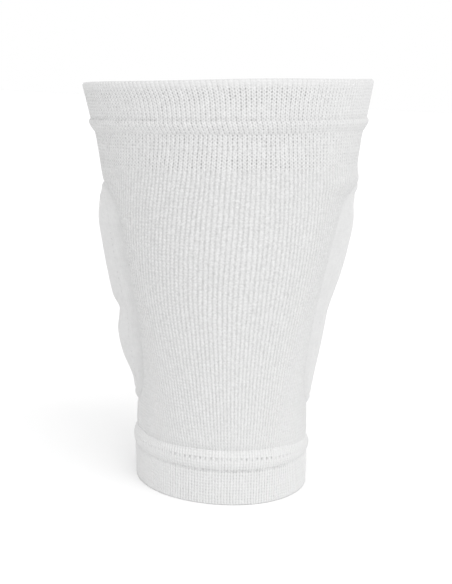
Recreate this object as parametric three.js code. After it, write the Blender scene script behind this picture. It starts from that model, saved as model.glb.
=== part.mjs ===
// A volleyball knee pad: a rib-knit sleeve for the leg that stands on its lower cuff, with two
// foam pads on the front under a smooth cover that wraps round to both sides.
// Millimetres, +Z up. The pad faces -Y, the ribbed back faces +Y, and the leg runs along Z.
import * as THREE from 'three'

// The sleeve, measured over the knit
const rimHeight = 215
const topWidth = 151.2
const topDepth = 124
const bottomWidth = 93.2
const bottomDepth = 102.6
const topLean = 7
const kneeBend = 4
const rimSlant = 4.7
const sleeveWall = 2.2

// The cuffs, of folded knit, each with a proud hem where it takes the end of the sleeve
const cuffWall = 3.2
const cuffSwell = 0.5
const upperCuffHeight = 25.4
const upperHemHeight = 6.6
const upperHemProud = 1.9
const lowerCuffHeight = 28.6
const lowerHemHeight = 10.4
const lowerHemProud = 1.4
const hemEdge = 0.7
const stitchDip = 0.3
const foldRadius = 1.1

// The padding on the front
const padBottom = 40
const padTop = 166
const padWrapAngle = 118
const coverThickness = 1.2
const plusSideBulge = 7.4
const minusSideBulge = 5.6
const frontBulge = 17.5
const foamInset = 7
const foamInsetAngle = 12
const creaseWidth = 6

// Clearances
const knitGap = 0.3
const foamGap = 0.45

// How fine the surfaces are
const roundSteps = 56
const coverColumns = 40
const coverRows = 22
const foamColumns = 26
const foamRows = 9
const rowEase = 0.6

// The form of the sleeve. at: height as a share of rimHeight; flare and deepen: how far the
// width and depth have gone from bottom to top; lean: share of topLean, toward +X;
// forward: share of kneeBend, toward -Y.
const sleeveSections = [
  { at: 0.0, flare: 0.0, deepen: 0.0, lean: 0.0, forward: 1.0 },
  { at: 0.1, flare: 0.01, deepen: 0.03, lean: 0.11, forward: 1.0 },
  { at: 0.2, flare: 0.0, deepen: -0.05, lean: 0.22, forward: 0.93 },
  { at: 0.3, flare: 0.035, deepen: -0.03, lean: 0.31, forward: 0.65 },
  { at: 0.4, flare: 0.135, deepen: 0.16, lean: 0.4, forward: 0.4 },
  { at: 0.5, flare: 0.27, deepen: 0.43, lean: 0.47, forward: 0.18 },
  { at: 0.6, flare: 0.43, deepen: 0.7, lean: 0.53, forward: 0.0 },
  { at: 0.7, flare: 0.585, deepen: 0.86, lean: 0.585, forward: 0.0 },
  { at: 0.8, flare: 0.72, deepen: 0.91, lean: 0.66, forward: 0.0 },
  { at: 0.87, flare: 0.8, deepen: 0.92, lean: 0.76, forward: 0.0 },
  { at: 1.0, flare: 1.0, deepen: 1.0, lean: 1.0, forward: 0.0 },
]

// The form of the padding, from its lower edge to its upper one. at: share of the padded
// height; plusSide, minusSide and front: shares of the bulge there; wrap: share of the wrap
// angle. The dip at 0.44 is the crease between the two pads.
const padSections = [
  { at: 0.0, plusSide: 0.0, minusSide: 0.0, front: 0.0, wrap: 0.84 },
  { at: 0.05, plusSide: 0.06, minusSide: 0.05, front: 0.12, wrap: 0.91 },
  { at: 0.13, plusSide: 0.26, minusSide: 0.22, front: 0.42, wrap: 0.96 },
  { at: 0.23, plusSide: 0.84, minusSide: 0.48, front: 0.78, wrap: 0.98 },
  { at: 0.33, plusSide: 1.0, minusSide: 0.62, front: 0.88, wrap: 0.99 },
  { at: 0.4, plusSide: 0.72, minusSide: 0.6, front: 0.66, wrap: 1.0 },
  { at: 0.44, plusSide: 0.6, minusSide: 0.54, front: 0.46, wrap: 1.0 },
  { at: 0.49, plusSide: 0.9, minusSide: 0.7, front: 0.66, wrap: 1.0 },
  { at: 0.6, plusSide: 0.96, minusSide: 0.98, front: 0.95, wrap: 1.0 },
  { at: 0.72, plusSide: 0.92, minusSide: 1.0, front: 1.0, wrap: 1.0 },
  { at: 0.82, plusSide: 0.84, minusSide: 0.88, front: 0.88, wrap: 1.0 },
  { at: 0.9, plusSide: 0.5, minusSide: 0.42, front: 0.56, wrap: 0.985 },
  { at: 0.96, plusSide: 0.1, minusSide: 0.12, front: 0.22, wrap: 0.94 },
  { at: 1.0, plusSide: 0.0, minusSide: 0.0, front: 0.0, wrap: 0.86 },
]
const creaseAt = 0.44
const rampStart = 0.84

// Values that follow from the sizes
const lipOffset = knitGap
const coverEdgeLift = knitGap + coverThickness
const upperHemBottom = rimHeight - upperCuffHeight
const upperStitchHeight = upperHemBottom + upperHemHeight
const lowerHemTop = lowerCuffHeight
const lowerStitchHeight = lowerHemTop - lowerHemHeight
const seatDepth = 0.3
const sleeveBottom = lowerStitchHeight + lowerHemHeight * seatDepth
const sleeveTop = upperStitchHeight - upperHemHeight * seatDepth
const padHeight = padTop - padBottom
const creaseHeight = padBottom + padHeight * creaseAt

// A smooth curve through one column of a table
function readTable(rows, column, at) {
  const last = rows.length - 1
  const place = THREE.MathUtils.clamp(at, rows[0].at, rows[last].at)
  let k = 0
  while (k < last - 1 && place > rows[k + 1].at) k += 1
  const span = rows[k + 1].at - rows[k].at
  const t = (place - rows[k].at) / span
  const slope = (i) => {
    const before = rows[Math.max(i - 1, 0)]
    const after = rows[Math.min(i + 1, last)]
    return ((after[column] - before[column]) / (after.at - before.at)) * span
  }
  const from = rows[k][column]
  const to = rows[k + 1][column]
  const bend = (2 * t ** 3 - 3 * t ** 2 + 1) * from + (3 * t ** 2 - 2 * t ** 3) * to
  return bend + (t ** 3 - 2 * t ** 2 + t) * slope(k) + (t ** 3 - t ** 2) * slope(k + 1)
}

// A point at an angle from the back (+Y), positive toward +X, at a height and at a lift
// above the knit's outer surface
function onSleeve(angle, height, lift) {
  const share = height / rimHeight
  const width = THREE.MathUtils.lerp(bottomWidth, topWidth, readTable(sleeveSections, 'flare', share))
  const depth = THREE.MathUtils.lerp(bottomDepth, topDepth, readTable(sleeveSections, 'deepen', share))
  const across = (width / 2 + lift) * Math.sin(angle)
  const along = (depth / 2 + lift) * Math.cos(angle)
  return new THREE.Vector3(
    across + topLean * readTable(sleeveSections, 'lean', share),
    along - kneeBend * readTable(sleeveSections, 'forward', share),
    height - rimSlant * share * Math.sin(angle) * (width / topWidth),
  )
}

// How far round from the front the cover reaches at a height
function wrapAngle(height) {
  const share = (height - padBottom) / padHeight
  return THREE.MathUtils.degToRad(padWrapAngle * readTable(padSections, 'wrap', share))
}

// The lift of the cover's outer face above the knit; turn is the angle from the front,
// positive toward +X
function coverLift(turn, height) {
  const share = (height - padBottom) / padHeight
  const sideBulge = turn > 0 ? plusSideBulge : minusSideBulge
  const column = turn > 0 ? 'plusSide' : 'minusSide'
  const side = (sideBulge - coverEdgeLift) * readTable(padSections, column, share)
  const front = (frontBulge - coverEdgeLift) * readTable(padSections, 'front', share)
  const facing = Math.max(Math.cos(turn), 0) ** 2
  const reach = 1 - Math.abs(turn) / wrapAngle(height)
  const ramp = THREE.MathUtils.smoothstep(reach, 0, 1 - rampStart)
  return coverEdgeLift + ramp * THREE.MathUtils.lerp(side, front, facing)
}

// A closed band round the leg from a section of [lift, height] points, which runs up the
// outside and down the inside. It is turned the other way round, because the lathe's axis is Y.
function bandRound(section) {
  const turningRadius = topWidth
  const points = section.map(([lift, height]) => new THREE.Vector2(turningRadius + lift, height))
  points.push(points[0].clone())
  points.reverse()
  const geometry = new THREE.LatheGeometry(points, roundSteps)
  const position = geometry.attributes.position
  for (let i = 0; i < position.count; i += 1) {
    const radius = Math.hypot(position.getX(i), position.getZ(i))
    const angle = Math.atan2(position.getX(i), position.getZ(i))
    const point = onSleeve(angle, position.getY(i), radius - turningRadius)
    position.setXYZ(i, point.x, point.y, point.z)
  }
  geometry.computeVertexNormals()
  return geometry
}

// A closed panel bent round the front. columns and rows divide it, with the rows closer toward
// its lower and upper edge; insetAngle holds it inside the cover's edge; innerLift and
// outerLift give its two faces.
function panelOnFront({ bottom, top, columns, rows, insetAngle, innerLift, outerLift }) {
  const geometry = new THREE.BoxGeometry(2, 1, 1, columns, rows, 1)
  const position = geometry.attributes.position
  const inset = THREE.MathUtils.degToRad(insetAngle)
  for (let i = 0; i < position.count; i += 1) {
    const even = position.getY(i) + 0.5
    const eased = (1 - Math.cos(Math.PI * even)) / 2
    const height = THREE.MathUtils.lerp(bottom, top, THREE.MathUtils.lerp(even, eased, rowEase))
    const turn = position.getX(i) * (wrapAngle(height) - inset)
    const lift = position.getZ(i) > 0 ? outerLift(turn, height) : innerLift(turn, height)
    const point = onSleeve(Math.PI - turn, height, lift)
    position.setXYZ(i, point.x, point.y, point.z)
  }
  geometry.computeVertexNormals()
  return geometry
}

function knitMaterial(color, roughness) {
  return new THREE.MeshStandardMaterial({ color, roughness, metalness: 0 })
}

function named(name, geometry, material) {
  const mesh = new THREE.Mesh(geometry, material)
  mesh.name = name
  return mesh
}

// The rib-knit tube between the cuffs, with its two ends seated in their hems
function makeKnitSleeve(material) {
  const outerSteps = 15
  const innerSteps = 9
  const section = []
  const bare = [lowerHemTop, upperHemBottom]
  section.push([0, sleeveBottom])
  for (let i = 0; i <= outerSteps; i += 1) {
    section.push([0, THREE.MathUtils.lerp(bare[0], bare[1], i / outerSteps)])
  }
  section.push([0, sleeveTop])
  for (let i = 0; i <= innerSteps; i += 1) {
    section.push([-sleeveWall, THREE.MathUtils.lerp(sleeveTop, sleeveBottom, i / innerSteps)])
  }
  return named('knit_sleeve', bandRound(section), material)
}

// The folded band at the thigh: its rim is the fold, its hem laps over the sleeve's end
function makeUpperCuff(material) {
  const seat = sleeveTop + knitGap
  const hemOuter = upperHemProud
  const section = [
    [lipOffset + hemEdge, upperHemBottom],
    [hemOuter, upperHemBottom + hemEdge],
    [hemOuter, upperStitchHeight - hemEdge],
    [cuffSwell - stitchDip, upperStitchHeight],
    [cuffSwell, upperStitchHeight + hemEdge],
    [cuffSwell, rimHeight - foldRadius],
    [cuffSwell - foldRadius, rimHeight],
    [foldRadius - cuffWall, rimHeight],
    [-cuffWall, rimHeight - foldRadius],
    [-cuffWall, seat],
    [lipOffset, seat],
    [lipOffset, upperHemBottom],
  ]
  return named('upper_cuff', bandRound(section), material)
}

// The folded band below the knee: it stands on its fold, and its hem laps up over the sleeve
function makeLowerCuff(material) {
  const seat = sleeveBottom - knitGap
  const hemOuter = lowerHemProud
  const section = [
    [cuffSwell - foldRadius, 0],
    [cuffSwell, foldRadius],
    [cuffSwell, lowerStitchHeight - hemEdge],
    [cuffSwell - stitchDip, lowerStitchHeight],
    [hemOuter, lowerStitchHeight + hemEdge],
    [hemOuter, lowerHemTop - hemEdge],
    [lipOffset + hemEdge, lowerHemTop],
    [lipOffset, lowerHemTop],
    [lipOffset, seat],
    [-cuffWall, seat],
    [-cuffWall, foldRadius],
    [foldRadius - cuffWall, 0],
  ]
  return named('lower_cuff', bandRound(section), material)
}

// The smooth cover: one wall that lies on the knit along its edge and rises over both pads
function makePadCover(material) {
  const geometry = panelOnFront({
    bottom: padBottom,
    top: padTop,
    columns: coverColumns,
    rows: coverRows,
    insetAngle: 0,
    innerLift: (turn, height) => coverLift(turn, height) - coverThickness,
    outerLift: coverLift,
  })
  return named('pad_cover', geometry, material)
}

// A foam pad that fills the room between the knit and the cover
function makeFoamPad(name, bottom, top, material) {
  const geometry = panelOnFront({
    bottom,
    top,
    columns: foamColumns,
    rows: foamRows,
    insetAngle: foamInsetAngle,
    innerLift: () => foamGap,
    outerLift: (turn, height) => coverLift(turn, height) - coverThickness - foamGap,
  })
  return named(name, geometry, material)
}

// The origin is the middle of the underside of the whole pad's box
function standOnOrigin(group) {
  const box = new THREE.Box3().setFromObject(group, true)
  const middle = box.getCenter(new THREE.Vector3())
  group.position.set(-middle.x, -middle.y, -box.min.z)
}

function makeKneePad() {
  const whiteKnit = knitMaterial(0xe9e9e7, 0.92)
  const whiteCuff = knitMaterial(0xeeeeec, 0.9)
  const whiteCover = knitMaterial(0xe6e6e5, 0.8)
  const paleFoam = knitMaterial(0xdcd9cf, 0.95)
  const foamBreak = creaseWidth / 2
  const group = new THREE.Group()
  group.add(
    makeKnitSleeve(whiteKnit),
    makeUpperCuff(whiteCuff),
    makeLowerCuff(whiteCuff.clone()),
    makePadCover(whiteCover),
    makeFoamPad('upper_foam_pad', creaseHeight + foamBreak, padTop - foamInset, paleFoam),
    makeFoamPad('lower_foam_pad', padBottom + foamInset * 2, creaseHeight - foamBreak, paleFoam.clone()),
  )
  standOnOrigin(group)
  return group
}

export default makeKneePad()
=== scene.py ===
import math
import bpy
import numpy as np
from mathutils import Matrix, Vector


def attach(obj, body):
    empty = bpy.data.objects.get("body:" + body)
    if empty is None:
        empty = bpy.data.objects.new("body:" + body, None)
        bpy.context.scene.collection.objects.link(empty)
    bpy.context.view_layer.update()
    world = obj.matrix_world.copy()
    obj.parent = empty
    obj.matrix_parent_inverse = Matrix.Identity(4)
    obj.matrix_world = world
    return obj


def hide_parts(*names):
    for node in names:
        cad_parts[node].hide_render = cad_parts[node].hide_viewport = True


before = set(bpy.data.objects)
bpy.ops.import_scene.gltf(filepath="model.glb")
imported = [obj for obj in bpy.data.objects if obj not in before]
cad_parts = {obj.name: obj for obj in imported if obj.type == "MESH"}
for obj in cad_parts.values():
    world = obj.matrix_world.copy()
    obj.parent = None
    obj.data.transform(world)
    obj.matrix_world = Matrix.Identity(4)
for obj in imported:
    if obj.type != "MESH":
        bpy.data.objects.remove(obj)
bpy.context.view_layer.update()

# A white sleeve knee pad that stands on its lower cuff. +Y is its ribbed back, -Y its padded
# front, +Z runs up the leg. Lengths are in metres, and mm stands for one millimetre.
mm = 0.001
degree = math.pi / 180

# The form that all the pieces lie on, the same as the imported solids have
form = {
    "rimHeight": 215 * mm,
    "topWidth": 151.2 * mm,
    "topDepth": 124 * mm,
    "bottomWidth": 93.2 * mm,
    "bottomDepth": 102.6 * mm,
    "topLean": 7 * mm,
    "kneeBend": 4 * mm,
    "rimSlant": 4.7 * mm,
    "originShift": (-6.93 * mm, 6.63 * mm),
    "sections": {
        "at": (0, 0.1, 0.2, 0.3, 0.4, 0.5, 0.6, 0.7, 0.8, 0.87, 1),
        "flare": (0, 0.01, 0, 0.035, 0.135, 0.27, 0.43, 0.585, 0.72, 0.8, 1),
        "deepen": (0, 0.03, -0.05, -0.03, 0.16, 0.43, 0.7, 0.86, 0.91, 0.92, 1),
        "lean": (0, 0.11, 0.22, 0.31, 0.4, 0.47, 0.53, 0.585, 0.66, 0.76, 1),
        "forward": (1, 1, 0.93, 0.65, 0.4, 0.18, 0, 0, 0, 0, 0),
    },
}

# The run of the ribs. spread opens them toward the sides of the back, twist turns them.
wales = {
    "count": 190,
    "perWale": 4,
    "sleeveRun": {
        "at": (0, 0.084, 0.132, 0.205, 0.305, 0.4, 0.49, 0.585, 0.68, 0.8, 0.882, 0.913, 1),
        "spread": (0, 0, 0.03, 0.145, 0.26, 0.346, 0.4, 0.36, 0.26, 0.09, 0, 0, 0),
        "twist": (0, 0, 0, 0.5, 1.5, 2.2, 2.5, 2, 1.2, 0.3, 0, 0, 0),
    },
    "upperRun": {
        "at": (0.87, 0.911, 0.915, 0.945, 0.965, 1),
        "spread": (0, 0, 0, 0, 0.012, 0.06),
        "twist": (-1.3, 0.5, 0.5, 0.55, 0.7, 1.5),
    },
}

# The padding. Its sections give the share of each bulge and of the wrap angle that it has, from
# its lower edge at 0 to its upper one at 1.
padding = {
    "bottom": 40 * mm,
    "top": 165 * mm,
    "plusWrap": 112 * degree,
    "minusWrap": 118 * degree,
    "plusSide": 7.4 * mm,
    "minusSide": 5.6 * mm,
    "front": 17.5 * mm,
    "edgeLift": 0.5 * mm,
    "rampStart": 0.84,
    "creaseAt": 0.44,
    "creaseHalf": 0.03,
    "sections": {
        "at": (0, 0.05, 0.13, 0.23, 0.33, 0.4, 0.44, 0.49, 0.6, 0.72, 0.82, 0.9, 0.96, 1),
        "plusSide": (0, 0.06, 0.26, 0.84, 1, 0.72, 0.6, 0.9, 0.96, 0.92, 0.84, 0.5, 0.1, 0),
        "minusSide": (0, 0.25, 0.42, 0.58, 0.64, 0.6, 0.54, 0.7, 0.98, 1, 0.88, 0.42, 0.12, 0),
        "front": (0, 0.12, 0.42, 0.78, 0.88, 0.66, 0.46, 0.66, 0.95, 1, 0.88, 0.56, 0.22, 0),
        "wrap": (0.78, 0.9, 0.97, 0.99, 1, 1, 1, 1, 1, 1, 1, 0.99, 0.93, 0.78),
    },
}


def readTable(table, column, at):
    xs = np.array(table["at"], float)
    ys = np.array(table[column], float)
    at = np.clip(np.asarray(at, float), xs[0], xs[-1])
    k = np.clip(np.searchsorted(xs, at, side="right") - 1, 0, len(xs) - 2)
    span = xs[k + 1] - xs[k]
    t = (at - xs[k]) / span
    low = np.maximum(np.arange(len(xs)) - 1, 0)
    high = np.minimum(np.arange(len(xs)) + 1, len(xs) - 1)
    slope = (ys[high] - ys[low]) / (xs[high] - xs[low])
    start = (2 * t**3 - 3 * t**2 + 1) * ys[k] + (t**3 - 2 * t**2 + t) * slope[k] * span
    return start + (3 * t**2 - 2 * t**3) * ys[k + 1] + (t**3 - t**2) * slope[k + 1] * span


def smoothstep(low, high, x):
    t = np.clip((x - low) / (high - low), 0, 1)
    return t * t * (3 - 2 * t)


# A soft hump of height 1 about a middle
def bell(x, middle, half):
    return np.exp(-(((x - middle) / half) ** 2))


# A seamless unevenness over an angle and a height. waves names its seed, the least and most
# waves round the leg, the shortest pitch up the leg and about the greatest size.
def unevenness(waves, angle, height, count=9, sharing=5):
    draw = np.random.RandomState(waves["seed"])
    total = 0
    for wave in range(count):
        around = draw.randint(waves["turns"][0], waves["turns"][1] + 1)
        along = draw.uniform(-1, 1) * 2 * math.pi / waves["pitch"]
        total = total + np.sin(around * angle + along * height + draw.uniform(0, 2 * math.pi))
    return total / sharing * waves["size"]


# A point on the knit: angle is taken from the back (+Y) toward +X, lift is off its outer face
def onSleeve(angle, height, lift):
    share = height / form["rimHeight"]
    flare = readTable(form["sections"], "flare", share)
    deepen = readTable(form["sections"], "deepen", share)
    width = form["bottomWidth"] + (form["topWidth"] - form["bottomWidth"]) * flare
    depth = form["bottomDepth"] + (form["topDepth"] - form["bottomDepth"]) * deepen
    x = (width / 2 + lift) * np.sin(angle)
    x = x + form["topLean"] * readTable(form["sections"], "lean", share) + form["originShift"][0]
    y = (depth / 2 + lift) * np.cos(angle)
    y = y - form["kneeBend"] * readTable(form["sections"], "forward", share) + form["originShift"][1]
    z = height - form["rimSlant"] * share * np.sin(angle) * (width / form["topWidth"])
    return np.stack(np.broadcast_arrays(x, y, z), axis=-1)


# The place of every column of points round the leg, in wales
def walesRound():
    return np.arange(wales["count"] * wales["perWale"]) / wales["perWale"]


# The angle of a rib, counted round from the middle of the back
def waleAngle(wale, height, run="sleeveRun"):
    share = height / form["rimHeight"]
    even = 2 * math.pi * wale / wales["count"]
    spread = readTable(wales[run], "spread", share)
    twist = readTable(wales[run], "twist", share) * degree
    return even + twist + spread * np.sin(2 * even) / 2


# How far an angle is from the front, from -pi to pi, positive toward +X
def turnFromFront(angle):
    return -np.angle(np.exp(1j * (angle - math.pi)))


# How far up the padding a height is, from 0 at its lower edge to 1 at its upper one
def paddingShare(height):
    return (height - padding["bottom"]) / (padding["top"] - padding["bottom"])


def wrapAngle(turn, height):
    reach = np.where(turn > 0, padding["plusWrap"], padding["minusWrap"])
    return reach * readTable(padding["sections"], "wrap", paddingShare(height))


# The lift of the cover's outer face
def coverLift(turn, height):
    share = paddingShare(height)
    edge = padding["edgeLift"]
    plus = (padding["plusSide"] - edge) * readTable(padding["sections"], "plusSide", share)
    minus = (padding["minusSide"] - edge) * readTable(padding["sections"], "minusSide", share)
    front = (padding["front"] - edge) * readTable(padding["sections"], "front", share)
    side = np.where(turn > 0, plus, minus)
    facing = np.maximum(np.cos(turn), 0) ** 2
    ramp = smoothstep(0, 1 - padding["rampStart"], 1 - np.abs(turn) / wrapAngle(turn, height))
    return edge + ramp * (side + (front - side) * facing)


# A mesh object from a grid of points [row, column], closed round its columns. stitches holds
# each point's place in wales and courses, lap what a full turn adds, knit its four weights.
def gridPiece(name, points, stitches, lap, knit, closedRows, material):
    rows, columns = points.shape[:2]
    r = np.arange(rows if closedRows else rows - 1)
    r, c = np.meshgrid(r, np.arange(columns), indexing="ij")
    r, c = r.ravel(), c.ravel()
    rUp, cUp = (r + 1) % rows, (c + 1) % columns
    corners = (r * columns + c, rUp * columns + c, rUp * columns + cUp, r * columns + cUp)
    quads = np.stack(corners, axis=1)
    uv = stitches[np.stack([r, rUp, rUp, r], 1), np.stack([c, c, cUp, cUp], 1)]
    uv[cUp == 0, 2:, 0] += lap
    mesh = bpy.data.meshes.new(name)
    mesh.vertices.add(rows * columns)
    mesh.vertices.foreach_set("co", points.reshape(-1).astype(np.float32))
    mesh.loops.add(quads.size)
    mesh.loops.foreach_set("vertex_index", quads.ravel().astype(np.int32))
    mesh.polygons.add(len(quads))
    mesh.polygons.foreach_set("loop_start", np.arange(0, quads.size, 4, dtype=np.int32))
    mesh.polygons.foreach_set("use_smooth", np.ones(len(quads), bool))
    mesh.update(calc_edges=True)
    layer = mesh.uv_layers.new(name="stitches")
    layer.data.foreach_set("uv", uv.reshape(-1).astype(np.float32))
    weights = mesh.color_attributes.new(name="knit", type="FLOAT_COLOR", domain="POINT")
    weights.data.foreach_set("color", knit.reshape(-1).astype(np.float32))
    mesh.materials.append(material)
    piece = bpy.data.objects.new(name, mesh)
    bpy.context.scene.collection.objects.link(piece)
    return piece


# A shader value, with Math nodes for the operators and one method for every other node
class Signal:
    def __init__(self, tree, socket=None):
        self.tree = tree
        self.socket = socket

    def node(self, kind, settings, values, output=0):
        made = self.tree.nodes.new("ShaderNode" + kind)
        for key, value in settings.items():
            setattr(made, key, value)
        for key, value in values.items():
            if isinstance(value, Signal):
                self.tree.links.new(value.socket, made.inputs[key])
            else:
                made.inputs[key].default_value = value
        return Signal(self.tree, made.outputs[output])

    def maths(self, operation, *values):
        return self.node("Math", {"operation": operation}, dict(enumerate(values)))

    def __add__(self, other):
        return self.maths("ADD", self, other)

    def __radd__(self, other):
        return self.maths("ADD", other, self)

    def __sub__(self, other):
        return self.maths("SUBTRACT", self, other)

    def __rsub__(self, other):
        return self.maths("SUBTRACT", other, self)

    def __mul__(self, other):
        return self.maths("MULTIPLY", self, other)

    def __rmul__(self, other):
        return self.maths("MULTIPLY", other, self)

    def __pow__(self, other):
        return self.maths("POWER", self, other)

    def step(self, low, high):
        settings = {"interpolation_type": "SMOOTHSTEP"}
        return self.node("MapRange", settings, {"Value": self, "From Min": low, "From Max": high})

    def whole(self):
        return self.maths("FLOOR", self)

    def wave(self):
        return self.maths("COSINE", self * (2 * math.pi)) * 0.5 + 0.5


def newMaterial(name, roughness, sheen, sheenRoughness=0.6, specular=0.25):
    material = bpy.data.materials.new(name)
    material.use_nodes = True
    tree = material.node_tree
    shader = tree.nodes["Principled BSDF"]
    shader.inputs["Roughness"].default_value = roughness
    shader.inputs["Sheen Weight"].default_value = sheen
    shader.inputs["Sheen Roughness"].default_value = sheenRoughness
    shader.inputs["Specular IOR Level"].default_value = specular
    return material, Signal(tree), shader


# The base colour goes from the look's white to its shade
def paint(start, shader, shade, look):
    sockets = {"Factor": shade, 6: look["white"], 7: look["shade"]}
    colour = start.node("Mix", {"data_type": "RGBA"}, sockets, 2)
    start.tree.links.new(colour.socket, shader.inputs["Base Color"])


def emboss(start, shader, height, depth):
    bump = start.node("Bump", {}, {"Strength": 1.0, "Distance": depth, "Height": height})
    start.tree.links.new(bump.socket, shader.inputs["Normal"])


def flatNoise(start, place, detail):
    sockets = {"Vector": place, "Detail": detail}
    return start.node("TexNoise", {"noise_dimensions": "2D"}, sockets, 0)


# A random value for each whole number, or for each pair of them
def chancePer(start, number):
    return start.node("TexWhiteNoise", {"noise_dimensions": "1D"}, {"W": number}, 0)


def chancePerPair(start, across, along):
    cell = start.node("CombineXYZ", {}, {0: across, 1: along})
    return start.node("TexWhiteNoise", {"noise_dimensions": "2D"}, {"Vector": cell}, 0)


# Knit in wales and courses: rounded ribs of v-shaped stitches, with painted shade in the valleys,
# eyelets and splits and between the beads. The piece's weights say how open the eyelets between the
# ribs are, how much painted shade falls on it in hollows, folds and grooves, how much the valleys
# show, and the share of the rim's height that it is at. A span is where a soft step starts and ends,
# what starts with mesh says how the eyelets change the ribs, and seams are rows of painted shade in
# stitch holes, given as height, half width and strength.
knitLook = {
    "white": (0.692, 0.692, 0.692, 1),
    "shade": (0.252, 0.252, 0.252, 1),
    "roughness": 0.92,
    "sheen": 0.05,
    "driftScale": (0.5, 0.22),
    "patchScale": (0.13, 0.1),
    "wobble": 0.16,
    "meshCalm": 0.5,
    "legLean": 0.4,
    "lag": 0.2,
    "grainRows": 1.5,
    "speckCells": (4, 3),
    "ribPower": 2.4,
    "valleySpan": (0.3, 0.78),
    "valleyRagged": 0.2,
    "valleyVary": 0.5,
    "meshValley": 0.4,
    "holeSpan": (0.64, 0.9),
    "holeRows": (0.28, 0.73),
    "holeLeast": 0.55,
    "patchVary": 0.8,
    "splitSpan": (0.05, 0.38),
    "splitRows": (0.35, 0.85),
    "holeShade": 0.6,
    "valleyShade": 0.165,
    "splitShade": 0.4,
    "beadShade": 0.07,
    "grainShade": 0.07,
    "fineShade": 0.24,
    "foldShade": 0.16,
    "ribHeight": 0.45,
    "meshRibLoss": 0.15,
    "stitchHeight": 0.32,
    "holeDepth": 0.6,
    "splitDepth": 0.2,
    "grainHeight": 0.1,
    "depth": 0.5 * mm,
    "seamSpots": (0.8, 1),
    "seamLeast": 0.25,
    "seamFading": 0.7,
    "seams": [(183.6 * mm, 0.55 * mm, 0.13), (182 * mm, 0.55 * mm, 0.13)],
}
upperLook = dict(
    knitLook, white=(0.707, 0.707, 0.707, 1), holeShade=0.58, valleyShade=0.08, splitShade=0.5,
    beadShade=0.1, fineShade=0.18, seams=[(196.2 * mm, 0.9 * mm, 0.12)],
)
# The lower cuff's white is a little lighter than the sleeve's: painted light for the floor's bounce
lowerLook = dict(
    knitLook, white=(0.712, 0.712, 0.712, 1), holeShade=0.48, valleyShade=0.04, splitShade=0.1,
    beadShade=0.05, grainShade=0.05, fineShade=0.12, lag=0.34,
    seams=[(18.2 * mm, 0.9 * mm, 0.24)],
)

# The row of small holes in the lower cuff's hem, painted dark as the shade inside them, one to so
# many wales
hemDots = {
    "at": 24.8 * mm,
    "half": 1 * mm,
    "pitch": 1.75,
    "span": (0.5, 0.9),
    "patchVary": 1.6,
    "patchLoss": 0.3,
    "grainLeast": 0.4,
}


# A band of the height where the value is near 1, from its middle and half width
def bandAt(share, middle, half, core=0.4):
    away = share.maths("ABSOLUTE", share - middle / form["rimHeight"])
    return 1 - away.step(half * core / form["rimHeight"], half / form["rimHeight"])


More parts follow.
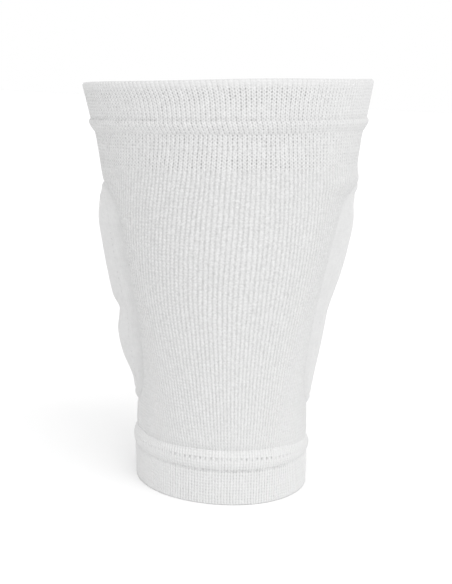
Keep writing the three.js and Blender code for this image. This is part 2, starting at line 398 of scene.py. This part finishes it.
def makeKnit(name, look, dots=None):
    material, start, shader = newMaterial(name, look["roughness"], look["sheen"])
    place = start.node("UVMap", {"uv_map": "stitches"}, {}, "UV")
    wale = start.node("SeparateXYZ", {}, {0: place}, "X")
    course = start.node("SeparateXYZ", {}, {0: place}, "Y")
    weights = start.node("Attribute", {"attribute_name": "knit"}, {}, "Color")
    share = start.node("Attribute", {"attribute_name": "knit"}, {}, "Alpha")
    eyelets = start.node("SeparateColor", {}, {0: weights}, "Red")
    paintedFoldShade = start.node("SeparateColor", {}, {0: weights}, "Green")
    ribbed = start.node("SeparateColor", {}, {0: weights}, "Blue")

    # Slow changes over the cloth, and ribs that waver with them
    waleScale, courseScale = look["driftScale"]
    slow = start.node("CombineXYZ", {}, {0: wale * waleScale, 1: course * courseScale})
    drift = flatNoise(start, slow, 2.0)
    waleScale, courseScale = look["patchScale"]
    wide = start.node("CombineXYZ", {}, {0: wale * waleScale, 1: course * courseScale})
    patch = flatNoise(start, wide, 1.0)
    across = wale + (drift - 0.5) * look["wobble"] * (1 - eyelets * look["meshCalm"])
    lag = chancePer(start, across.whole())
    off = across.maths("ABSOLUTE", across.maths("FRACT", across) - 0.5) * 2
    along = course + lag * look["lag"]

    # The stitches, and chance per leg of a stitch and per smaller speck
    lean = off * look["legLean"]
    stitch = (along + lean).wave()
    row = (along + 0.5).wave()
    grain = chancePerPair(start, (across * 2).whole(), ((along + lean) * look["grainRows"]).whole())
    waleCells, courseCells = look["speckCells"]
    fine = chancePerPair(start, (across * waleCells).whole(), (along * courseCells).whole())

    # Valleys between the ribs, eyelets in them, and splits in the middle of the ribs, all painted
    # darker below as shade
    rib = 1 - off ** look["ribPower"]
    ragged = (stitch - 0.5) * look["valleyRagged"] + (grain - 0.5) * look["valleyRagged"]
    valley = (off + ragged).step(*look["valleySpan"])
    hole = off.step(*look["holeSpan"]) * row.step(*look["holeRows"]) * eyelets
    hole = hole * (look["holeLeast"] + grain * (1 - look["holeLeast"]))
    hole = hole * (1 - look["patchVary"] / 2 + patch * look["patchVary"])
    split = (1 - off.step(*look["splitSpan"])) * (1 - row).step(*look["splitRows"]) * eyelets
    busy = ribbed.maths("MINIMUM", ribbed + eyelets, 1)

    # Painted shade: the valleys, eyelets, splits, the dips between beads and the fold weight darken
    # the colour; grain and speckle are the yarn's own tone
    vary = 1 - look["valleyVary"] / 2 + drift * look["valleyVary"]
    shade = valley * ribbed * vary * (1 - eyelets * (1 - look["meshValley"])) * look["valleyShade"]
    shade = shade + hole * look["holeShade"] + split * look["splitShade"]
    shade = shade + (1 - stitch) * look["beadShade"] + grain * look["grainShade"]
    shade = shade + (fine - 0.5) * busy * look["fineShade"] + paintedFoldShade * look["foldShade"]
    # Painted shade in the stitch holes and grooves along the sewn and dotted rows
    spot = (grain + patch * 0.3).step(*look["seamSpots"]) * 0.7 + look["seamLeast"] + hole * 0.5
    spot = spot * (busy * look["seamFading"] + (1 - look["seamFading"]))
    for middle, half, strength in look["seams"]:
        shade = shade + bandAt(share, middle, half) * spot * strength
    if dots:
        dot = (wale * (1 / dots["pitch"])).wave().step(*dots["span"])
        dot = dot * (patch * dots["patchVary"] - dots["patchLoss"]) * (grain + dots["grainLeast"])
        shade = shade + bandAt(share, dots["at"], dots["half"]) * dot * busy
    shade = shade.node("Clamp", {}, {"Value": shade})
    paint(start, shader, shade, look)

    height = rib * (look["ribHeight"] - eyelets * look["meshRibLoss"])
    height = height + stitch * (1 - off * 0.5) * look["stitchHeight"] + grain * look["grainHeight"]
    height = height - hole * look["holeDepth"] - split * look["splitDepth"]
    emboss(start, shader, height, look["depth"])
    return material


# The close jersey of the cover: small even stitches, almost flat, with a sewn line along its
# edge that shows as small pricks, plainer on the plus side. Painted shade darkens the gaps between
# the stitches, the sewn line, the pricks and the crease. The weights' last part is how far a
# point is from the edge, in radians, and so are seamIn and seamSpan.
coverLook = {
    "white": (0.628, 0.628, 0.628, 1),
    "shade": (0.375, 0.375, 0.375, 1),
    "roughness": 0.9,
    "sheen": 0.3,
    "stitchPitch": 0.9 * mm,
    "legLean": 0.5,
    "cloudScale": 0.12,
    "fineScale": 0.45,
    "seamIn": 0.13,
    "seamSpan": (0.003, 0.011),
    "prickPitch": 4,
    "prickStray": 0.6,
    "prickSpan": (0.72, 0.93),
    "prickSides": (0.3, 0.8),
    "stitchShade": 0.08,
    "cloudShade": 0.2,
    "fineShade": 0.25,
    "seamShade": 0.05,
    "prickShade": 0.6,
    "foldShade": 0.16,
    "stitchHeight": 0.6,
    "waleHeight": 0.4,
    "prickDepth": 2,
    "depth": 0.1 * mm,
}


def makeJersey(name, look):
    material, start, shader = newMaterial(name, look["roughness"], look["sheen"])
    place = start.node("UVMap", {"uv_map": "stitches"}, {}, "UV")
    wale = start.node("SeparateXYZ", {}, {0: place}, "X")
    course = start.node("SeparateXYZ", {}, {0: place}, "Y")
    weights = start.node("Attribute", {"attribute_name": "knit"}, {}, "Color")
    paintedFoldShade = start.node("SeparateColor", {}, {0: weights}, "Green")
    inward = start.node("Attribute", {"attribute_name": "knit"}, {}, "Alpha")
    off = wale.maths("ABSOLUTE", wale.maths("FRACT", wale) - 0.5) * 2
    stitch = (course + off * look["legLean"]).wave()
    flat = {"noise_dimensions": "2D"}
    cloudSockets = {"Vector": place, "Scale": look["cloudScale"], "Detail": 3.0}
    cloud = start.node("TexNoise", flat, cloudSockets, 0)
    fineSockets = {"Vector": place, "Scale": look["fineScale"], "Detail": 2.0}
    fine = start.node("TexNoise", flat, fineSockets, 0)

    # The sewn line and its pricks
    pricks = course * (1 / look["prickPitch"])
    chance = chancePer(start, pricks.whole())
    line = 1 - inward.maths("ABSOLUTE", inward - look["seamIn"]).step(*look["seamSpan"])
    prick = (pricks + 0.5 + chance * look["prickStray"]).wave().step(*look["prickSpan"])
    minusPrick, plusPrick = look["prickSides"]
    prick = prick * line * chance * (wale.step(-1, 1) * (plusPrick - minusPrick) + minusPrick)

    # Painted shade between the stitches, on the sewn line, in the pricks and in the crease; the
    # cloud and speckle are the cloth's own tone
    shade = (1 - stitch + off) * look["stitchShade"]
    shade = shade + (cloud - 0.4) * look["cloudShade"] + (fine - 0.5) * look["fineShade"]
    shade = shade + line * look["seamShade"] + prick * look["prickShade"] + paintedFoldShade * look["foldShade"]
    shade = shade.node("Clamp", {}, {"Value": shade})
    paint(start, shader, shade, look)
    height = stitch * look["stitchHeight"] + (1 - off) * look["waleHeight"]
    emboss(start, shader, height - prick * look["prickDepth"], look["depth"])
    return material


foamLook = {
    "white": (0.8, 0.78, 0.7, 1),
    "shade": (0.62, 0.6, 0.53, 1),
    "roughness": 0.95,
    "sheen": 0.1,
    "cellScale": 900.0,
    "depth": 0.25 * mm,
}


def makeFoam(name, look):
    material, start, shader = newMaterial(name, look["roughness"], look["sheen"])
    place = start.node("TexCoord", {}, {}, "Object")
    cells = start.node("TexVoronoi", {}, {"Vector": place, "Scale": look["cellScale"]}, "Distance")
    paint(start, shader, cells, look)
    emboss(start, shader, cells, look["depth"])
    return material


knitMaterial = makeKnit("ribKnit", knitLook)
upperMaterial = makeKnit("upperCuffKnit", upperLook)
lowerMaterial = makeKnit("lowerCuffKnit", lowerLook, hemDots)
jerseyMaterial = makeJersey("coverJersey", coverLook)
foamMaterial = makeFoam("padFoam", foamLook)
print("materials made")


# How much weaker the pattern, with its ribs and its painted shade, is toward each side, standing in
# for the flatter shading that the side light gives the knit there
fading = {
    "facing": (0.35, 0.9),
    "at": (0, 0.15, 0.3, 0.45, 0.6, 0.8, 1),
    "plus": (0.9, 0.8, 0.5, 0, 0, 0.1, 0.2),
    "minus": (1, 0.9, 0.75, 0.4, 0.22, 0.5, 0.75),
}


def patternStrength(angle, share):
    plus = np.interp(share, fading["at"], fading["plus"])
    minus = np.interp(share, fading["at"], fading["minus"])
    side = np.where(np.sin(angle) > 0, plus, minus)
    return 1 - side * smoothstep(*fading["facing"], np.abs(np.sin(angle)))


# The rib-knit sleeve, with real ribs on both faces. valley is the hollow beside the cover's edge,
# swell the fuller place at its upper corner, and hem the line above the lower cuff's hem. The valley
# and the hem line also get painted shade, stronger on the plus side at the hem, and a band of
# painted shade darkens the mid-body, where the flaring knit faces down from the key. The weights go
# by the share of the rim's height.
sleeve = {
    "bottom": 20.6 * mm,
    "top": 194.4 * mm,
    "wall": 2.1 * mm,
    "tuck": 2.2 * mm,
    "outerRows": 98,
    "innerRows": 26,
    "ribDepth": 0.34 * mm,
    "calfRib": 0.6,
    "meshFlat": 0.7,
    "innerRib": 0.4,
    "coursePitch": 1.68 * mm,
    "wander": {"seed": 4, "turns": (9, 26), "pitch": 25 * mm, "size": 0.12},
    "uneven": {"seed": 1, "turns": (2, 7), "pitch": 60 * mm, "size": 0.2 * mm},
    "valley": 1.7 * mm,
    "valleyPaintedShade": 0.45,
    "valleyAngle": 3 * degree,
    "valleySpan": 3 * mm,
    "valleyStart": (40 * mm, 58 * mm),
    "valleyLeast": 0.3,
    "valleyFade": (138 * mm, 160 * mm),
    "fadeLoss": 0.7,
    "minusLoss": 0.6,
    "minusFacing": (0.2, 0.85),
    "underSpan": (0.8, 1.8),
    "underDip": 2.1 * mm,
    "innerDip": 1.3 * mm,
    "clearSpan": (0, 1.3),
    "swell": 2.4 * mm,
    "swellAt": 164 * mm,
    "swellHalf": 5.5 * mm,
    "swellFacing": (0.55, 0.95),
    "hemDip": 0.45 * mm,
    "hemAt": 29.3 * mm,
    "hemHalf": 1.6 * mm,
    "hemPaintedShade": 0.4,
    "hemPaintedShadeSide": 0.3,
    "plusDrop": 1.4 * mm,
    "minusDrop": 4.2 * mm,
    "weights": {
        "at": (0, 0.13, 0.15, 0.18, 0.22, 0.5, 0.795, 0.806, 0.838, 0.842, 0.852, 0.856, 0.88, 1),
        "open": (0.3, 0.35, 0.4, 0.3, 0.08, 0.02, 0.1, 1, 0.9, 0.35, 0.35, 0.9, 0.9, 0.9),
        "ribbed": (0.1, 0.1, 0.2, 0.5, 0.8, 1, 0.9, 0.7, 0.7, 0.8, 0.8, 0.7, 0.7, 0.7),
        "paintedShade": (0, 0, 0, 0, 0, 0.1, 0.34, 0.1, 0, 0, 0, 0, 0, 0),
    },
    "flat": (0.34, 0.174),
}


# The knit stands out a little round the cover's upper corner on the minus side
def sideSwell(angle, height):
    side = smoothstep(*sleeve["swellFacing"], -np.sin(angle))
    return sleeve["swell"] * bell(height, sleeve["swellAt"], sleeve["swellHalf"]) * side


# How far the free edge of the lower hem hangs lower toward each side
def hemHang(angle):
    plus = sleeve["plusDrop"] * np.maximum(np.sin(angle), 0) ** 2
    return plus + sleeve["minusDrop"] * np.maximum(-np.sin(angle), 0) ** 2


# The valley beside the cover, shallower on the minus side and toward the cover's corners
def valleyDepth(turn, height):
    side = 1 - sleeve["minusLoss"] * smoothstep(*sleeve["minusFacing"], -np.sin(turn))
    least = sleeve["valleyLeast"]
    low = least + (1 - least) * smoothstep(*sleeve["valleyStart"], height)
    high = 1 - sleeve["fadeLoss"] * smoothstep(*sleeve["valleyFade"], height)
    return sleeve["valley"] * side * low * high


# How far below the knit's even face the sleeve lies: a soft valley beside the cover's edge, and
# a seat under it. The valley's share of its full depth and the knit clear of it come with it.
def sleeveDip(angle, height):
    turn = turnFromFront(angle)
    outside = np.abs(turn) - wrapAngle(turn, height)
    past = np.maximum(padding["bottom"] - height, height - padding["top"])
    beyond = np.maximum(outside / sleeve["valleyAngle"], past / sleeve["valleySpan"])
    valley = bell(np.maximum(beyond, 0), 0, 1)
    under = smoothstep(*sleeve["underSpan"], -beyond)
    clear = smoothstep(*sleeve["clearSpan"], beyond)
    depth = valleyDepth(turn, height)
    dip = depth * valley + (sleeve["underDip"] - depth) * under
    return dip, valley * depth / sleeve["valley"], clear


def sleeveRow(height, lift, inner):
    wale = walesRound()
    height = np.full(len(wale), height)
    angle = waleAngle(wale, height)
    share = height / form["rimHeight"]
    strength = patternStrength(angle, share)
    weigh = {key: np.interp(share, sleeve["weights"]["at"], sleeve["weights"][key])
             for key in ("open", "ribbed", "paintedShade")}
    flare = readTable(form["sections"], "flare", share)
    rib = -np.cos(2 * math.pi * wale) / 2 * sleeve["ribDepth"] * strength
    rib = rib * (sleeve["calfRib"] + (1 - sleeve["calfRib"]) * flare)
    rib = rib * (1 - sleeve["meshFlat"] * weigh["open"])
    wander = unevenness(sleeve["wander"], angle, height) * 2 * math.pi / wales["count"]
    dip, valley, clear = sleeveDip(angle, height)
    shown = clear * strength
    hem = bell(height + hemHang(angle), sleeve["hemAt"], sleeve["hemHalf"])
    if inner:
        lift = lift + rib * sleeve["innerRib"] - dip / sleeve["valley"] * sleeve["innerDip"]
    else:
        lift = lift + rib * clear - dip - hem * sleeve["hemDip"]
        lift = lift + unevenness(sleeve["uneven"], angle, height) * clear
    points = onSleeve(angle + wander, height, lift + sideSwell(angle, height))
    stitches = np.stack([wale, height / sleeve["coursePitch"]], axis=1)
    # Painted shade in the valley beside the cover, along the hem line and over the mid-body
    paintedFoldShade = weigh["paintedShade"] + valley * sleeve["valleyPaintedShade"]
    paintedFoldShade = paintedFoldShade + hem * (sleeve["hemPaintedShade"] + sleeve["hemPaintedShadeSide"] * np.sin(angle))
    knit = np.stack([weigh["open"] * shown, paintedFoldShade, weigh["ribbed"] * shown, share], axis=1)
    return points, stitches, knit


def makeSleeve():
    bottom, top, tuck = sleeve["bottom"], sleeve["top"], sleeve["tuck"]
    rows = [sleeveRow(bottom, 0.0, False)]
    for height in np.linspace(bottom + tuck, top - tuck, sleeve["outerRows"]):
        rows.append(sleeveRow(height, 0.0, False))
    rows.append(sleeveRow(top, 0.0, False))
    for height in np.linspace(top, bottom, sleeve["innerRows"]):
        rows.append(sleeveRow(height, -sleeve["wall"], True))
    points, stitches, knit = (np.stack(part) for part in zip(*rows))
    return gridPiece("knitSleeve", points, stitches, wales["count"], knit, True, knitMaterial)


knitSleeve = makeSleeve()
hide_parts("knit_sleeve")
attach(knitSleeve, "root")
print("sleeve made")


# A closed smooth curve through a section's corners, with its points an even step apart
def smoothLoop(corners, count, finePoints=24):
    corners = np.array(corners, float)
    fine = []
    for k in range(len(corners)):
        before, start, end, after = (corners[(k + i) % len(corners)] for i in (-1, 0, 1, 2))
        t = np.linspace(0, 1, finePoints, endpoint=False)[:, None]
        bend = 2 * start + (end - before) * t + (2 * before - 5 * start + 4 * end - after) * t**2
        fine.append((bend + (3 * start - before - 3 * end + after) * t**3) / 2)
    fine = np.concatenate(fine + [fine[0][:1]])
    along = np.concatenate([[0], np.cumsum(np.linalg.norm(np.diff(fine, axis=0), axis=1))])
    even = np.linspace(0, along[-1], count, endpoint=False)
    loop = np.stack([np.interp(even, along, fine[:, i]) for i in (0, 1)], axis=1)
    return loop, even


# What both folded cuffs share. swell is how far a cuff's face stands out, and proud how far its
# hem does. seat is the height that the sleeve's end reaches inside the fold. One weight sets the
# painted shade in the grooves, and grooveFading how much of it goes toward the sides with the
# pattern.
cuffs = {
    "wall": 3.2 * mm,
    "swell": 0.5 * mm,
    "ribDepth": 0.12 * mm,
    "coursePitch": 1.6 * mm,
    "outside": (-0.9 * mm, 0.1 * mm),
    "uneven": {"seed": 6, "turns": (2, 6), "pitch": 60 * mm, "size": 0.3 * mm},
    "pucker": {"seed": 8, "turns": (14, 40), "pitch": 12 * mm, "size": 0.5},
    "sway": {"seed": 12, "turns": (2, 5), "pitch": 60 * mm, "size": 0.3 * mm},
    "swaySpan": (0.9, 1),
    "hangSpan": (19.2 * mm, 29 * mm),
    "groovePaintedShade": 0.4,
    "grooveFading": 0.6,
}

# grooves are rows of height, half width and depth, and hanging is 1 where the hem's free edge
# hangs. The weights go by the share of the rim's height.
upperBand = {
    "hem": (189 * mm, 196.2 * mm),
    "proud": 1.75 * mm,
    "seat": 194.5 * mm,
    "rows": 76,
    "run": "upperRun",
    "grooves": [(196.2 * mm, 0.7 * mm, 0.16 * mm)],
    "hanging": 0,
    "at": (0.87, 0.88, 0.9, 0.913, 0.92, 0.945, 0.955, 0.975, 0.982, 0.988, 1),
    "open": (0.2, 0.5, 0.8, 0.75, 0.8, 0.8, 1, 1, 0.7, 0.15, 0.05),
    "ribbed": (0.8, 0.8, 0.6, 0.5, 0.6, 0.6, 1, 1, 0.6, 0.3, 0.1),
    "flat": (0.42, 0.028),
}
lowerBand = {
    "hem": (18.2 * mm, 29 * mm),
    "proud": 1.35 * mm,
    "seat": 21 * mm,
    "rows": 84,
    "run": "sleeveRun",
    "grooves": [(18.4 * mm, 0.8 * mm, 0.38 * mm), (24.8 * mm, 0.6 * mm, 0.12 * mm)],
    "hanging": 1,
    "at": (0, 0.01, 0.03, 0.078, 0.086, 0.095, 0.12, 0.133, 0.14),
    "open": (0.2, 0.5, 0.6, 0.6, 0.6, 0.4, 0.3, 0.3, 0.3),
    "ribbed": (0.2, 0.35, 0.4, 0.4, 0.5, 0.4, 0.4, 0.5, 0.6),
    "flat": (0.3, 0.031),
}


# One ring of a cuff, from a point of its section and the way along the section to it
def cuffRow(band, lift, height, along):
    wale = walesRound()
    heights = np.full(len(wale), height)
    angle = waleAngle(wale, heights, band["run"])
    share = height / form["rimHeight"]
    strength = patternStrength(angle, share)
    outside = smoothstep(*cuffs["outside"], lift)
    rib = -np.cos(2 * math.pi * wale) / 2 * cuffs["ribDepth"]
    uneven = unevenness(cuffs["uneven"], angle, heights)
    groove = sum(depth * bell(height, at, half) for at, half, depth in band["grooves"])
    pucker = 1 + unevenness(cuffs["pucker"], angle, heights)
    lifts = lift + rib + uneven - outside * groove * pucker
    sway = unevenness(cuffs["sway"], angle, heights) * smoothstep(*cuffs["swaySpan"], share)
    hang = hemHang(angle) * outside * band["hanging"] * smoothstep(*cuffs["hangSpan"], height)
    points = onSleeve(angle, heights + sway - hang, lifts)
    stitches = np.stack([wale, np.full(len(wale), along / cuffs["coursePitch"])], axis=1)
    # Painted shade in the cuff's grooves, weaker toward the sides
    paintedFoldShade = cuffs["groovePaintedShade"] * min(groove / band["grooves"][0][2], 1) * outside
    paintedFoldShade = paintedFoldShade * (1 - cuffs["grooveFading"] + cuffs["grooveFading"] * strength)
    knit = np.stack([
        strength * np.interp(share, band["at"], band["open"]),
        paintedFoldShade,
        strength * np.interp(share, band["at"], band["ribbed"]),
        np.full(len(wale), share * outside),
    ], axis=1)
    return points, stitches, knit


def makeCuff(name, band, corners, material):
    loop, along = smoothLoop(corners, band["rows"])
    rows = [cuffRow(band, *place, way) for place, way in zip(loop, along)]
    points, stitches, knit = (np.stack(part) for part in zip(*rows))
    return gridPiece(name, points, stitches, wales["count"], knit, True, material)


# The cuffs' sections, as loops of lift and height, up the outside and down the inside
def upperCorners():
    low, stitch = upperBand["hem"]
    proud, seat = upperBand["proud"], upperBand["seat"]
    top, wall, swell = form["rimHeight"], cuffs["wall"], cuffs["swell"]
    return [
        (-0.8 * mm, low),
        (-0.5 * mm, low - 0.1 * mm),
        (0.2 * mm, low + 0.7 * mm),
        (proud * 0.5, low + 2 * mm),
        (proud * 0.82, low + 3.4 * mm),
        (proud, stitch - 2.4 * mm),
        (proud * 0.86, stitch - 1.1 * mm),
        (swell + 0.1 * mm, stitch),
        (swell, stitch + 1.3 * mm),
        (swell, stitch + 6 * mm),
        (swell, top - 6 * mm),
        (swell, top - 1.9 * mm),
        (swell - 0.35 * mm, top - 0.7 * mm),
        (swell - 1.2 * mm, top - 0.05 * mm),
        (-wall + 1.2 * mm, top - 0.05 * mm),
        (-wall + 0.35 * mm, top - 0.7 * mm),
        (-wall, top - 1.9 * mm),
        (-wall, top - 9 * mm),
        (-wall, seat + 6 * mm),
        (-wall, seat),
        (-1.4 * mm, seat),
        (-0.9 * mm, seat - 0.6 * mm),
        (-0.9 * mm, seat - 2.4 * mm),
    ]


def lowerCorners():
    stitch, high = lowerBand["hem"]
    proud, seat = lowerBand["proud"], lowerBand["seat"]
    wall, swell = cuffs["wall"], cuffs["swell"]
    return [
        (swell - 0.6 * mm, 0.03 * mm),
        (swell - 0.15 * mm, 0.25 * mm),
        (swell, 0.9 * mm),
        (swell, 9 * mm),
        (swell, stitch - 2 * mm),
        (swell, stitch - 0.4 * mm),
        (proud * 0.72, stitch + 1.4 * mm),
        (proud, stitch + 3.4 * mm),
        (proud, high - 5 * mm),
        (proud * 0.75, high - 3.2 * mm),
        (proud * 0.35, high - 1.6 * mm),
        (-0.4 * mm, high),
        (-0.9 * mm, high),
        (-0.9 * mm, high - 3 * mm),
        (-0.9 * mm, seat + 0.6 * mm),
        (-1.4 * mm, seat),
        (-wall, seat),
        (-wall, seat - 6 * mm),
        (-wall, 7 * mm),
        (-wall, 1.9 * mm),
        (-wall + 0.35 * mm, 0.6 * mm),
        (-wall + 1.2 * mm, 0.05 * mm),
    ]


upperCuff = makeCuff("upperCuff", upperBand, upperCorners(), upperMaterial)
lowerCuff = makeCuff("lowerCuff", lowerBand, lowerCorners(), lowerMaterial)
for piece, node, band in (
    (upperCuff, "upper_cuff", upperBand),
    (lowerCuff, "lower_cuff", lowerBand),
):
    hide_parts(node)
    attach(piece, "root")
print("cuffs made")


# The cover: a closed sheet, thin at its edge, where it dips into the knit, with a sewn line
cover = {
    "columns": 236,
    "rows": 130,
    "rowBunching": 0.6,
    "meanRadius": 62 * mm,
    "endRadius": 60 * mm,
    "thickness": 1.2 * mm,
    "edgeThickness": 0.2 * mm,
    "edgeSink": 0.8 * mm,
    "edgeAngle": 7 * degree,
    "edgeSpan": 5 * mm,
    "hemAngle": 6 * degree,
    "hemHalf": 3.2 * degree,
    "hemPuff": 0.45 * mm,
    "seamHalf": 1.6 * degree,
    "seamDip": 0.5 * mm,
    "puckerHalf": 4 * degree,
    "creaseInward": (0.1, 0.7),
    "uneven": {"seed": 21, "turns": (3, 9), "pitch": 45 * mm, "size": 0.25 * mm},
    "seamPucker": {"seed": 31, "turns": (16, 48), "pitch": 10 * mm, "size": 0.4 * mm},
    "creasePucker": {"seed": 33, "turns": (16, 48), "pitch": 25 * mm, "size": 0.4 * mm},
    "flat": (0.248, 0.127),
}


# A closed panel round the front, inset from the cover's edges. outer and inner give the lift of
# its two faces by turn and height.
def bentPanel(name, span, inset, columns, rows, outer, inner, material):
    across = np.linspace(1, -1, columns)
    up = np.linspace(0, 1, rows)
    up = up + (0.5 - 0.5 * np.cos(math.pi * up) - up) * cover["rowBunching"]
    turns, heights = [], []
    for share in up:
        height = span[0] + (span[1] - span[0]) * share
        turns.append(across * (wrapAngle(across, height) - inset))
        heights.append(np.full(columns, height))
    turns, heights = np.stack(turns), np.stack(heights)
    front = onSleeve(math.pi - turns, heights, outer(turns, heights))
    back = onSleeve(math.pi - turns, heights, inner(turns, heights))
    points = np.concatenate([front, back[:, ::-1]], axis=1)
    places = np.stack([turns * cover["meanRadius"], heights], axis=-1) / coverLook["stitchPitch"]
    places = np.concatenate([places, places[:, ::-1]], axis=1)
    knit = np.zeros(points.shape[:2] + (4,))
    inward = edgeDistance(turns, heights)
    # Painted shade in the crease between the lobes, fading out near the cover's edges
    creased = bell(paddingShare(heights), padding["creaseAt"], padding["creaseHalf"])
    knit[:, :columns, 1] = creased * smoothstep(*cover["creaseInward"], inward)
    knit[:, :columns, 3] = inward
    piece = gridPiece(name, points, places, 0, knit, False, material)
    closeEnds(piece, columns, rows)
    return piece


# Close the first and last row of a flattened tube, whose halves face each other
def closeEnds(piece, columns, rows):
    mesh = piece.data
    faces = []
    top = (rows - 1) * 2 * columns
    for a in range(columns - 1):
        b, mirrorA, mirrorB = a + 1, 2 * columns - 1 - a, 2 * columns - 2 - a
        faces.append((a, b, mirrorB, mirrorA))
        faces.append((top + a, top + mirrorA, top + mirrorB, top + b))
    start = len(mesh.loops)
    count = len(mesh.polygons)
    mesh.loops.add(len(faces) * 4)
    mesh.polygons.add(len(faces))
    for k, face in enumerate(faces):
        polygon = mesh.polygons[count + k]
        polygon.loop_start = start + 4 * k
        for i, vertex in enumerate(face):
            mesh.loops[start + 4 * k + i].vertex_index = vertex
        polygon.use_smooth = True
    mesh.update(calc_edges=True)


# How far a height lies inside the cover's lower and upper edges
def endDistance(height):
    return np.minimum(height - padding["bottom"], padding["top"] - height)


# How far a point lies inside the cover's edge, in radians of turn
def edgeDistance(turn, height):
    inside = wrapAngle(turn, height) - np.abs(turn)
    return np.minimum(inside, endDistance(height) / cover["endRadius"])


# How far the cover has grown to its full form, from 0 at its edge to 1
def coverGrown(turn, height):
    inside = wrapAngle(turn, height) - np.abs(turn)
    nearest = np.minimum(inside / cover["edgeAngle"], endDistance(height) / cover["edgeSpan"])
    return smoothstep(0, 1, nearest)


# Small puckers along the sewn line and across the crease between the lobes
def coverGather(turn, height, inward):
    sewn = bell(inward, coverLook["seamIn"], cover["puckerHalf"])
    creased = bell(paddingShare(height), padding["creaseAt"], 2 * padding["creaseHalf"])
    pucker = sewn * unevenness(cover["seamPucker"], turn, height)
    return pucker + creased * unevenness(cover["creasePucker"], turn, height)


def coverOuter(turn, height):
    grown = coverGrown(turn, height)
    inward = edgeDistance(turn, height)
    puff = cover["hemPuff"] * bell(inward, cover["hemAngle"], cover["hemHalf"])
    seam = cover["seamDip"] * bell(inward, coverLook["seamIn"], cover["seamHalf"])
    uneven = unevenness(cover["uneven"], turn * 0.5, height)
    uneven = uneven + coverGather(turn, height, inward)
    lift = coverLift(turn, height) + (puff + uneven) * grown + sideSwell(math.pi - turn, height)
    return lift - seam - (1 - grown) * (cover["edgeSink"] + valleyDepth(turn, height))


def coverInner(turn, height):
    wall = cover["thickness"] - cover["edgeThickness"]
    return coverOuter(turn, height) - cover["edgeThickness"] - wall * coverGrown(turn, height)


padCover = bentPanel(
    "padCover", (padding["bottom"], padding["top"]), 0, cover["columns"], cover["rows"],
    coverOuter, coverInner, jerseyMaterial,
)
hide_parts("pad_cover")
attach(padCover, "root")
print("cover made")


# The two foam pads, which fill the room between the knit and the cover
foam = {
    "columns": 90,
    "rows": 34,
    "inset": 12 * degree,
    "gap": 0.45 * mm,
    "seat": -1.6 * mm,
    "upper": (98.5 * mm, 159 * mm),
    "lower": (54 * mm, 92.4 * mm),
    "fill": 0.9,
}


def foamOuter(turn, height):
    return coverOuter(turn, height) - cover["thickness"] - foam["gap"]


def foamInner(turn, height):
    return np.full(turn.shape, foam["seat"])


def makeFoamPad(name, span, node):
    pad = bentPanel(
        name, span, foam["inset"], foam["columns"], foam["rows"], foamOuter, foamInner,
        foamMaterial,
    )
    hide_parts(node)
    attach(pad, "root")


makeFoamPad("upperFoam", foam["upper"], "upper_foam_pad")
makeFoamPad("lowerFoam", foam["lower"], "lower_foam_pad")
print("foam pads made")


# The studio: a wide pale floor, an even white surround and a weak, soft key from above on the
# photograph's right
studio = {
    "floorSize": 60.0,
    "white": (0.95, 0.95, 0.95, 1),
    "shade": (0.93, 0.93, 0.93, 1),
    "roughness": 0.8,
    "cloudScale": 3.0,
    "surround": 1.0,
    "keyFrom": (-0.31, 0.75, 0.585),
    "keySoftness": 70 * degree,
    "keyStrength": 1.1,
}


def makeFloor():
    bpy.ops.object.select_all(action="DESELECT")
    bpy.ops.mesh.primitive_plane_add(size=studio["floorSize"], location=(0, 0, 0))
    floor = bpy.context.object
    floor.name = "floor"
    material, start, shader = newMaterial("paleFloor", studio["roughness"], 0.0)
    place = start.node("TexCoord", {}, {}, "Object")
    cloud = start.node("TexNoise", {}, {"Vector": place, "Scale": studio["cloudScale"]}, 0)
    paint(start, shader, cloud, studio)
    floor.data.materials.append(material)


def makeKey():
    data = bpy.data.lights.new("key", "SUN")
    data.angle = studio["keySoftness"]
    data.energy = studio["keyStrength"]
    light = bpy.data.objects.new("key", data)
    light.rotation_euler = Vector(studio["keyFrom"]).to_track_quat("Z", "Y").to_euler()
    bpy.context.scene.collection.objects.link(light)


# The camera, at the photograph's place: behind the pad and a little above it
camera = {
    "at": (38.2 * mm, 604.1 * mm, 207.4 * mm),
    "heading": 4.07 * degree,
    "pitch": 9.9 * degree,
    "roll": 2.98 * degree,
    "focalPixels": 1126,
    "framePixels": 584,
    "sensor": 36.0,
    "near": 0.01,
}


def makeCamera():
    data = bpy.data.cameras.new("camera")
    data.sensor_width = camera["sensor"]
    data.lens = camera["focalPixels"] / camera["framePixels"] * camera["sensor"]
    data.clip_start = camera["near"]
    holder = bpy.data.objects.new("camera", data)
    heading, pitch, roll = camera["heading"], camera["pitch"], camera["roll"]
    forward = Vector((
        -math.sin(heading) * math.cos(pitch),
        -math.cos(heading) * math.cos(pitch),
        -math.sin(pitch),
    ))
    level = forward.cross(Vector((0, 0, 1))).normalized()
    upright = level.cross(forward)
    right = math.cos(roll) * level + math.sin(roll) * upright
    up = -math.sin(roll) * level + math.cos(roll) * upright
    holder.matrix_world = Matrix((
        (right.x, up.x, -forward.x, camera["at"][0]),
        (right.y, up.y, -forward.y, camera["at"][1]),
        (right.z, up.z, -forward.z, camera["at"][2]),
        (0, 0, 0, 1),
    ))
    bpy.context.scene.collection.objects.link(holder)
    bpy.context.scene.camera = holder


makeFloor()
makeKey()
world = bpy.data.worlds.new("studioWorld")
world.use_nodes = True
background = world.node_tree.nodes["Background"]
background.inputs["Color"].default_value = (1, 1, 1, 1)
background.inputs["Strength"].default_value = studio["surround"]
bpy.context.scene.world = world
bpy.context.scene.view_settings.view_transform = "Standard"
makeCamera()
print("studio made")
